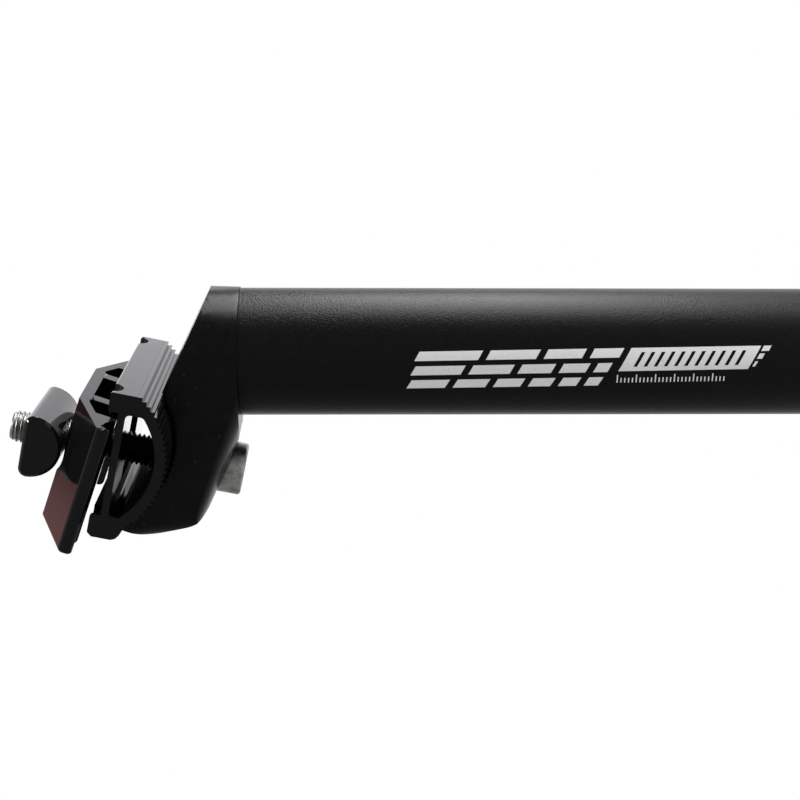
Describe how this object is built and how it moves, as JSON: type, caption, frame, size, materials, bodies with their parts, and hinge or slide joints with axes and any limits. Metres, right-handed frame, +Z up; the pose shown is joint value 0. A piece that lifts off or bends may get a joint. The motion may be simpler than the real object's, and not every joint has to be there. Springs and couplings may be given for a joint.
{
  "type": "bicycle seatpost",
  "caption": "Straight tubular bicycle seatpost with a set-back forged head and a single-bolt serrated saddle clamp.",
  "frame": {"origin": "centre of the post's open lower end", "axes": "+Z up the post towards the saddle, +X forwards (away from the set-back), +Y the rider's left"},
  "size_m": [0.0512, 0.0528, 0.3733],
  "materials": {
    "tube_black": "satin black anodised",
    "head_black": "semi-gloss black over a forging",
    "clamp_black": "gloss black",
    "nut_black": "gloss black",
    "bolt_zinc": "zinc plated",
    "washer_zinc": "zinc plated",
    "print_white": "white screen print"
  },
  "bodies": {
    "post": {"post_tube": "tube_black", "head_yoke": "head_black"},
    "cradle": {"lower_cradle": "clamp_black", "wedge_washer": "washer_zinc"},
    "bolt": {"clamp_bolt": "bolt_zinc"},
    "nut": {"barrel_nut": "nut_black"},
    "bridge": {"upper_clamp": "clamp_black"}
  },
  "joints": [
    {"name": "saddle_tilt", "type": "hinge", "parent": "post", "child": "cradle", "pos_m": [-0.0155, 0, 0.355], "axis": [0, 1, 0], "range_deg": [-3, 10]},
    {"name": "bolt_turn", "type": "hinge", "parent": "cradle", "child": "bolt", "pos_m": [-0.01971, 0, 0.35586], "axis": [-0.1994, 0, -0.9799], "range_deg": [0, 1300]},
    {"name": "nut_travel", "type": "slide", "parent": "cradle", "child": "nut", "axis": [0.1994, 0, 0.9799], "range_m": [0, 0.0036]},
    {"name": "clamp_rock", "type": "hinge", "parent": "nut", "child": "bridge", "pos_m": [-0.01743, 0, 0.36708], "axis": [0, 1, 0], "range_deg": [-7.74, 1.5]}
  ],
  "couplings": [
    {"joint": "bolt_turn", "follows": "nut_travel", "rad_per_m": 6283.2}
  ]
}
